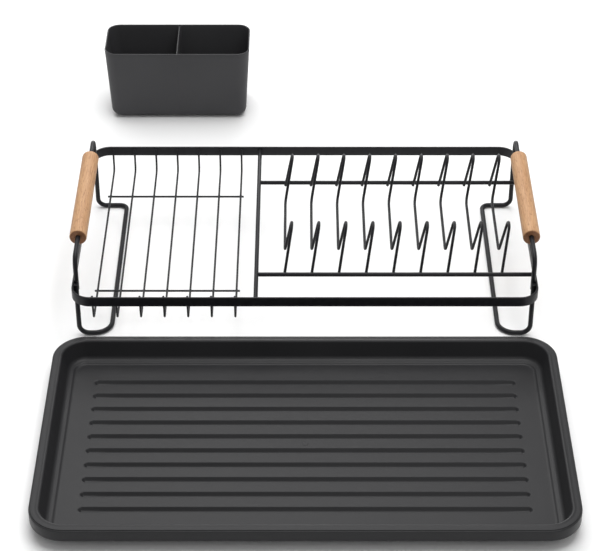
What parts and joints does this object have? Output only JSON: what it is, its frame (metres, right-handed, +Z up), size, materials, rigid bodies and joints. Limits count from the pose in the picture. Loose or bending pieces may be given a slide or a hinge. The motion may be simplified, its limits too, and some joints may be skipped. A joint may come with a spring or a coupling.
{
  "type": "dish drying rack",
  "caption": "Wire dish drying rack with wooden handle grips, a ribbed drip tray and a divided cutlery cup, laid out as a set.",
  "frame": {"origin": "middle of the laid-out set, on the worktop", "axes": "+X along the rack towards the plate bay, +Y from the tray to the cup, +Z up"},
  "size_m": [0.512, 0.831, 0.1038],
  "materials": {
    "black_coat": "satin black powder coat",
    "tray_plastic": "dark grey, satin moulded",
    "cup_plastic": "dark grey, matte moulded",
    "beech": "turned beech, lightly oiled"
  },
  "bodies": {
    "tray": {"drip_tray": "tray_plastic"},
    "rack": {"rim": "black_coat", "divider_bar": "black_coat", "rear_plate_bar": "black_coat", "front_plate_bar": "black_coat", "plate_wire_1": "black_coat", "plate_wire_2": "black_coat", "plate_wire_3": "black_coat", "plate_wire_4": "black_coat", "plate_wire_5": "black_coat", "plate_wire_6": "black_coat", "plate_wire_7": "black_coat", "plate_wire_8": "black_coat", "plate_wire_9": "black_coat", "basket_wire_1": "black_coat", "basket_wire_2": "black_coat", "basket_wire_3": "black_coat", "basket_wire_4": "black_coat", "basket_wire_5": "black_coat", "basket_wire_6": "black_coat", "basket_wire_7": "black_coat", "rear_cross_wire": "black_coat", "front_cross_wire": "black_coat", "left_leg_rod": "black_coat", "right_leg_rod": "black_coat", "left_handle_rod": "black_coat", "right_handle_rod": "black_coat"},
    "cup": {"cutlery_cup": "cup_plastic"},
    "left_grip": {"left_grip": "beech"},
    "right_grip": {"right_grip": "beech"}
  },
  "joints": [
    {"name": "rack_lift", "type": "slide", "parent": "tray", "child": "rack", "axis": [0, 0, 1], "range_m": [0, 0.12]},
    {"name": "cup_lift", "type": "slide", "parent": "tray", "child": "cup", "axis": [0, 0, 1], "range_m": [0, 0.12]},
    {"name": "left_grip_spin", "type": "hinge", "parent": "rack", "child": "left_grip", "pos_m": [-0.2357, 0.0305, 0.094], "axis": [0, 1, 0], "continuous": true},
    {"name": "right_grip_spin", "type": "hinge", "parent": "rack", "child": "right_grip", "pos_m": [0.2357, 0.0305, 0.094], "axis": [0, 1, 0], "continuous": true}
  ]
}
